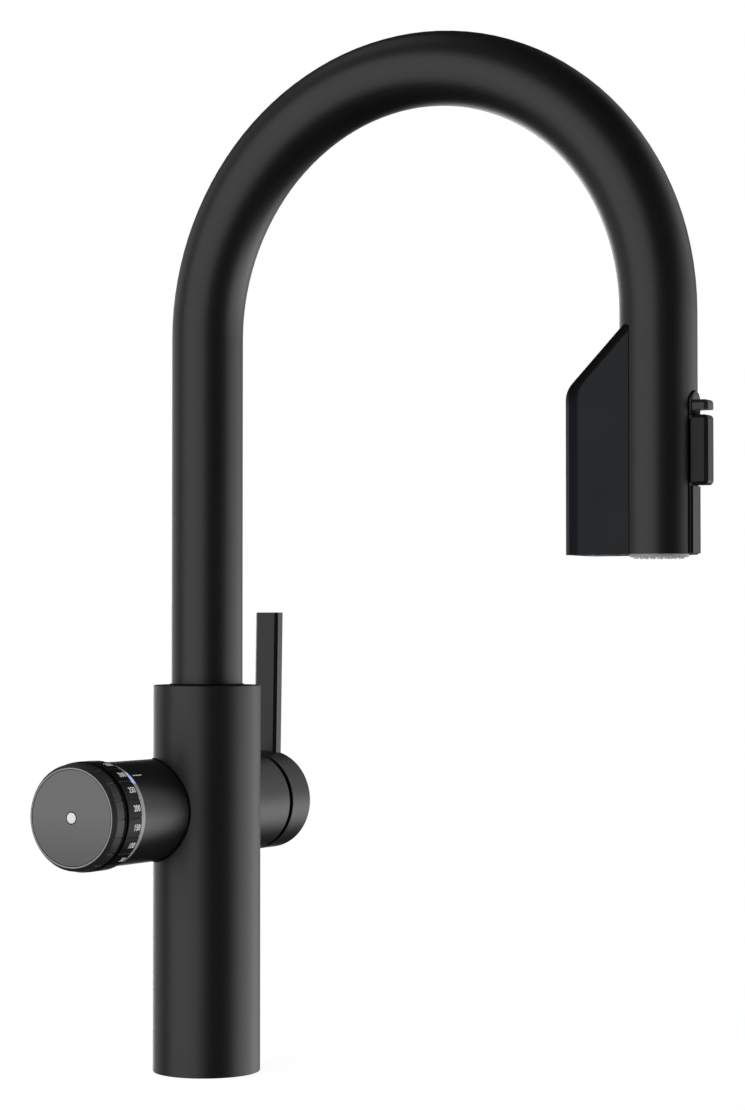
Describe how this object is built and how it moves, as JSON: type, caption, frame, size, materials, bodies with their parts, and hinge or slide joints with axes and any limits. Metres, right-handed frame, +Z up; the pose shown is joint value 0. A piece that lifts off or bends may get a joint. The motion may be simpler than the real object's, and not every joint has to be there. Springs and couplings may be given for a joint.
{
  "type": "kitchen mixer tap",
  "caption": "Tall arched kitchen mixer tap with a pull-out spray head, a side lever and a numbered measuring dial.",
  "frame": {"origin": "centre of the body's foot on the worktop, over the tap hole", "axes": "+Z up along the body column; the spout reaches toward -Y, the dial points to -X and the lever side to +X"},
  "size_m": [0.1678, 0.2962, 0.4729],
  "materials": {
    "black_coat": "fine matte powder coat",
    "fin_plastic": "satin",
    "soft_black": "matte",
    "button_plastic": "satin",
    "strip_plastic": "satin",
    "dial_black": "satin",
    "disc_grey": "satin",
    "lens_white": "translucent",
    "light_ring": "translucent",
    "brass": "machined",
    "copper": "drawn",
    "rubber": "matte",
    "nub_silicone": "matte",
    "steel": "brushed",
    "pom_white": "matte",
    "cartridge_plastic": "matte",
    "board_green": "satin",
    "hose_grey": "braided",
    "nozzle_grey": "satin"
  },
  "bodies": {
    "base": {"body_column": "black_coat", "base_gasket": "rubber", "deck_insert": "brass", "supply_tube_left": "copper", "supply_tube_right": "copper", "outlet_tube": "copper", "mixer_core": "brass", "stop_pin": "steel", "thrust_washer": "pom_white", "swivel_sleeve": "pom_white", "cartridge_housing": "cartridge_plastic", "cartridge_nut": "brass", "dial_carrier": "soft_black", "light_ring": "light_ring", "encoder": "soft_black", "encoder_board": "board_green"},
    "spout": {"spout_tube": "black_coat", "spout_foot": "brass", "hose_guide": "pom_white", "spray_hose": "hose_grey", "fin_housing": "fin_plastic", "fin_plate": "fin_plastic", "filter_outlet": "nozzle_grey"},
    "spray_head": {"spray_body": "soft_black", "control_strip": "strip_plastic", "pull_tab": "soft_black", "nozzle_plate": "nozzle_grey", "nozzle_mat": "nub_silicone", "aerator": "nozzle_grey", "hose_connector": "steel", "connector_seal": "rubber"},
    "button": {"spray_button": "button_plastic"},
    "dial": {"dial_hub": "soft_black", "scale_ring": "dial_black", "grip_ring": "dial_black"},
    "dial_front": {"dial_button": "disc_grey", "dial_lens": "lens_white"},
    "lever_carrier": {"cartridge_driver": "cartridge_plastic", "driver_pin": "steel"},
    "lever": {"spindle": "steel", "handle_cap": "black_coat", "lever_bar": "black_coat"}
  },
  "joints": [
    {"name": "spout_swivel", "type": "hinge", "parent": "base", "child": "spout", "pos_m": [0, 0, 0.1792], "axis": [0, 0, 1], "range_deg": [-70, 70]},
    {"name": "spray_pull_out", "type": "slide", "parent": "spout", "child": "spray_head", "axis": [0, 0, -1], "range_m": [0, 0.2]},
    {"name": "spray_button_press", "type": "slide", "parent": "spray_head", "child": "button", "axis": [0, 1, 0], "range_m": [0, 0.0015], "stiffness_N_per_m": 900, "springref_m": -0.002},
    {"name": "dial_turn", "type": "hinge", "parent": "base", "child": "dial", "pos_m": [-0.0595, 0.0169, 0.1214], "axis": [1, 0, 0], "continuous": true},
    {"name": "dial_press", "type": "slide", "parent": "dial", "child": "dial_front", "axis": [1, 0, 0], "range_m": [0, 0.0015], "stiffness_N_per_m": 900, "springref_m": -0.002},
    {"name": "temperature_turn", "type": "hinge", "parent": "base", "child": "lever_carrier", "pos_m": [0.0528, 0.0169, 0.1214], "axis": [1, 0, 0], "range_deg": [0, 90]},
    {"name": "flow_tilt", "type": "hinge", "parent": "lever_carrier", "child": "lever", "pos_m": [0.0528, 0.0169, 0.1214], "axis": [0, 1, 0], "range_deg": [0, 20]}
  ]
}
